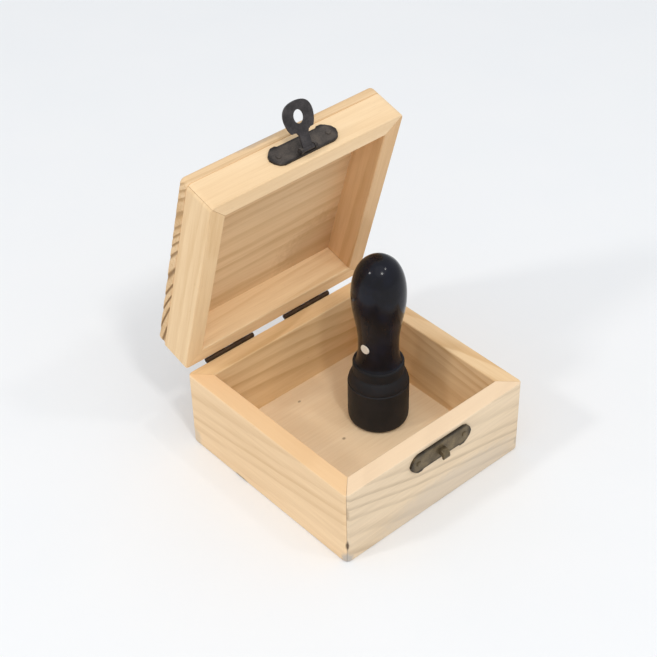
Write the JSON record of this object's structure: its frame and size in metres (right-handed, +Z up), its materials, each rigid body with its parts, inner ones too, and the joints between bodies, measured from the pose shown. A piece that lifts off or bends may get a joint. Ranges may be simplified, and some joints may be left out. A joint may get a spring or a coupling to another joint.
{
  "type": "jack in the box",
  "caption": "Small square pine box with a hinged lid held by an antique bronze hasp, and a loose round-headed dark jack standing on its floor.",
  "frame": {"origin": "middle of the box underside, on the surface it stands on", "axes": "+X along the hinge line, right seen from the latch side; -Y is the latch side and +Y the hinge side; +Z up"},
  "size_m": [0.095, 0.1176, 0.1482],
  "materials": {
    "pine": "sanded bare pine",
    "plywood": "smooth sanded plywood",
    "antique_bronze": "dark antique bronze plating, satin",
    "black_gloss": "glossy blue-black",
    "black_satin": "satin black moulded plastic",
    "white_dot": "white moulded plastic",
    "die_rubber": "soft blank rubber",
    "stud_steel": "plain steel"
  },
  "bodies": {
    "box": {"front_wall": "pine", "back_wall": "pine", "left_wall": "pine", "right_wall": "pine", "floor_panel": "plywood", "hinge_box_leaves": "antique_bronze", "hinge_pins": "antique_bronze", "hinge_box_nails": "antique_bronze", "catch_plate": "antique_bronze", "catch_nails": "antique_bronze"},
    "lid": {"lid_front_rail": "pine", "lid_back_rail": "pine", "lid_left_rail": "pine", "lid_right_rail": "pine", "lid_panel": "pine", "hinge_lid_leaves": "antique_bronze", "hinge_lid_nails": "antique_bronze", "latch_plate": "antique_bronze", "latch_nails": "antique_bronze", "latch_pin": "antique_bronze"},
    "hasp": {"latch_tab": "antique_bronze"},
    "cap": {"jack_cap": "black_satin"},
    "jack": {"jack_barrel": "black_satin", "jack_die": "die_rubber", "jack_collar": "black_satin", "jack_head": "black_gloss", "jack_dot": "white_dot", "jack_stud": "stud_steel"}
  },
  "joints": [
    {"name": "lid_hinge", "type": "hinge", "parent": "box", "child": "lid", "pos_m": [0, 0.0482, 0.036], "axis": [-1, 0, 0], "range_deg": [-23, 102]},
    {"name": "hasp_swing", "type": "hinge", "parent": "lid", "child": "hasp", "pos_m": [0.0011, 0.02536, 0.13124], "axis": [-1, 0, 0], "range_deg": [-130, 0]},
    {"name": "jack_lift", "type": "slide", "parent": "box", "child": "cap", "axis": [0, 0, 1], "range_m": [0, 0.14]},
    {"name": "cap_pull", "type": "slide", "parent": "cap", "child": "jack", "axis": [0, 0, 1], "range_m": [0, 0.021]}
  ]
}
